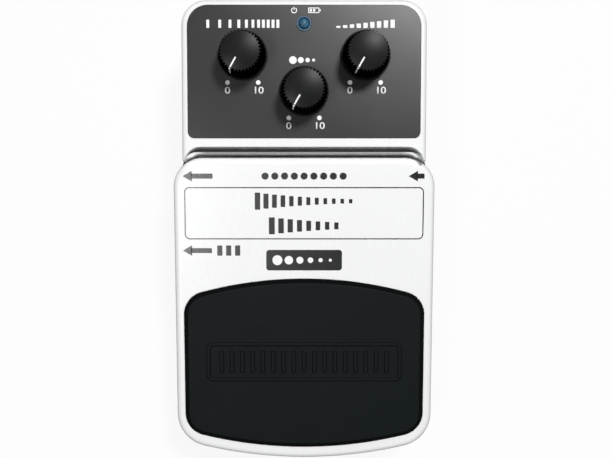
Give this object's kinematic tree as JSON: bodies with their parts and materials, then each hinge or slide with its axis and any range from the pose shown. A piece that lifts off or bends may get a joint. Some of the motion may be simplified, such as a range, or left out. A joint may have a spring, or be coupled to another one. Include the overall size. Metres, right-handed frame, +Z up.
{
  "type": "analog delay pedal",
  "caption": "Compact guitar effect pedal: large hinged treadle with rubber pad over a housing with battery bay and jacks, sloping dark control panel with fluted knobs and an indicator lamp.",
  "frame": {"origin": "on the floor, at the middle of the pedal's bounding box", "axes": "+X to the player's right, +Y to the rear where the control panel is, +Z up"},
  "size_m": [0.07, 0.123, 0.0541],
  "materials": {
    "black_rubber": "matte",
    "painted_steel": "satin",
    "black_steel": "satin",
    "white_plastic": "gloss",
    "dark_panel": "satin",
    "blue_lens": "clear gloss",
    "white_nylon": "matte",
    "chrome_metal": "polished",
    "grey_metal": "satin",
    "knob_plastic": "semi-gloss",
    "pointer_white": "matte",
    "circuit_board": "satin",
    "zinc_steel": "bright",
    "black_plastic": "matte",
    "contact_metal": "bright",
    "can_sleeve": "gloss",
    "film_red": "gloss",
    "resistor_tan": "satin",
    "trimmer_blue": "satin",
    "steel_pin": "bright",
    "battery_case": "satin",
    "lead_red": "satin",
    "lead_black": "satin",
    "ribbon_grey": "matte"
  },
  "bodies": {
    "base": {"rubber_mat": "black_rubber", "base_plate": "painted_steel", "base_screws": "black_steel", "housing": "white_plastic", "control_panel": "dark_panel", "lamp": "blue_lens", "lamp_spacer": "white_nylon", "lamp_ring": "blue_lens", "pot_left": "grey_metal", "pot_middle": "grey_metal", "pot_right": "grey_metal", "pot_board": "circuit_board", "pot_board_screws": "zinc_steel", "main_board": "circuit_board", "main_board_screws": "zinc_steel", "input_jack": "black_plastic", "output_jack": "black_plastic", "direct_jack": "black_plastic", "jack_contacts": "contact_metal", "jack_washers": "chrome_metal", "jack_nuts": "chrome_metal", "power_socket": "black_plastic", "power_pin": "contact_metal", "power_contact": "contact_metal", "foot_switch": "black_plastic", "delay_chip": "black_plastic", "clock_chip": "black_plastic", "amplifier_chips": "black_plastic", "electrolytic_capacitors": "can_sleeve", "film_capacitors": "film_red", "resistors": "resistor_tan", "trimmers": "trimmer_blue", "transistors": "black_plastic", "pin_plugs": "white_nylon", "battery": "battery_case", "battery_snap": "black_plastic", "plunger_spring": "steel_pin", "return_springs": "steel_pin", "pin_spring_left": "steel_pin", "pin_spring_right": "steel_pin", "battery_lead_red": "lead_red", "battery_lead_black": "lead_black", "ribbon_cable": "ribbon_grey", "board_header": "black_plastic", "pot_header": "black_plastic"},
    "treadle": {"treadle": "white_plastic", "treadle_pad": "black_rubber"},
    "knob_left": {"knob_left": "knob_plastic", "shaft_left": "white_nylon", "pointer_left": "pointer_white"},
    "knob_middle": {"knob_middle": "knob_plastic", "shaft_middle": "white_nylon", "pointer_middle": "pointer_white"},
    "knob_right": {"knob_right": "knob_plastic", "shaft_right": "white_nylon", "pointer_right": "pointer_white"},
    "hinge_pin_left": {"hinge_pin_left": "steel_pin"},
    "hinge_pin_right": {"hinge_pin_right": "steel_pin"},
    "switch_plunger": {"switch_plunger": "white_nylon", "switch_button": "white_nylon"}
  },
  "joints": [
    {"name": "treadle_press", "type": "hinge", "parent": "base", "child": "treadle", "pos_m": [0, 0.009, 0.0263], "axis": [1, 0, 0], "range_deg": [0, 2.2], "stiffness_Nm_per_rad": 8, "springref_deg": -0.17, "deforming": ["return_springs"]},
    {"name": "knob_left_turn", "type": "hinge", "parent": "base", "child": "knob_left", "pos_m": [-0.01595, 0.04709, 0.04165], "axis": [0, 0.0698, -0.9976], "range_deg": [0, 300]},
    {"name": "knob_middle_turn", "type": "hinge", "parent": "base", "child": "knob_middle", "pos_m": [0, 0.03791, 0.04101], "axis": [0, 0.0698, -0.9976], "range_deg": [0, 300]},
    {"name": "knob_right_turn", "type": "hinge", "parent": "base", "child": "knob_right", "pos_m": [0.01595, 0.04709, 0.04165], "axis": [0, 0.0698, -0.9976], "range_deg": [0, 300]},
    {"name": "hinge_pin_left_push", "type": "slide", "parent": "base", "child": "hinge_pin_left", "axis": [1, 0, 0], "range_m": [0, 0.0031], "stiffness_N_per_m": 300, "deforming": ["pin_spring_left"]},
    {"name": "hinge_pin_right_push", "type": "slide", "parent": "base", "child": "hinge_pin_right", "axis": [-1, 0, 0], "range_m": [0, 0.0031], "stiffness_N_per_m": 300, "deforming": ["pin_spring_right"]},
    {"name": "plunger_push", "type": "slide", "parent": "base", "child": "switch_plunger", "axis": [0, 0, -1], "range_m": [0, 0.00088], "stiffness_N_per_m": 200, "deforming": ["plunger_spring"]}
  ],
  "couplings": [
    {"joint": "plunger_push", "follows": "treadle_press", "m_per_rad": 0.0226}
  ]
}
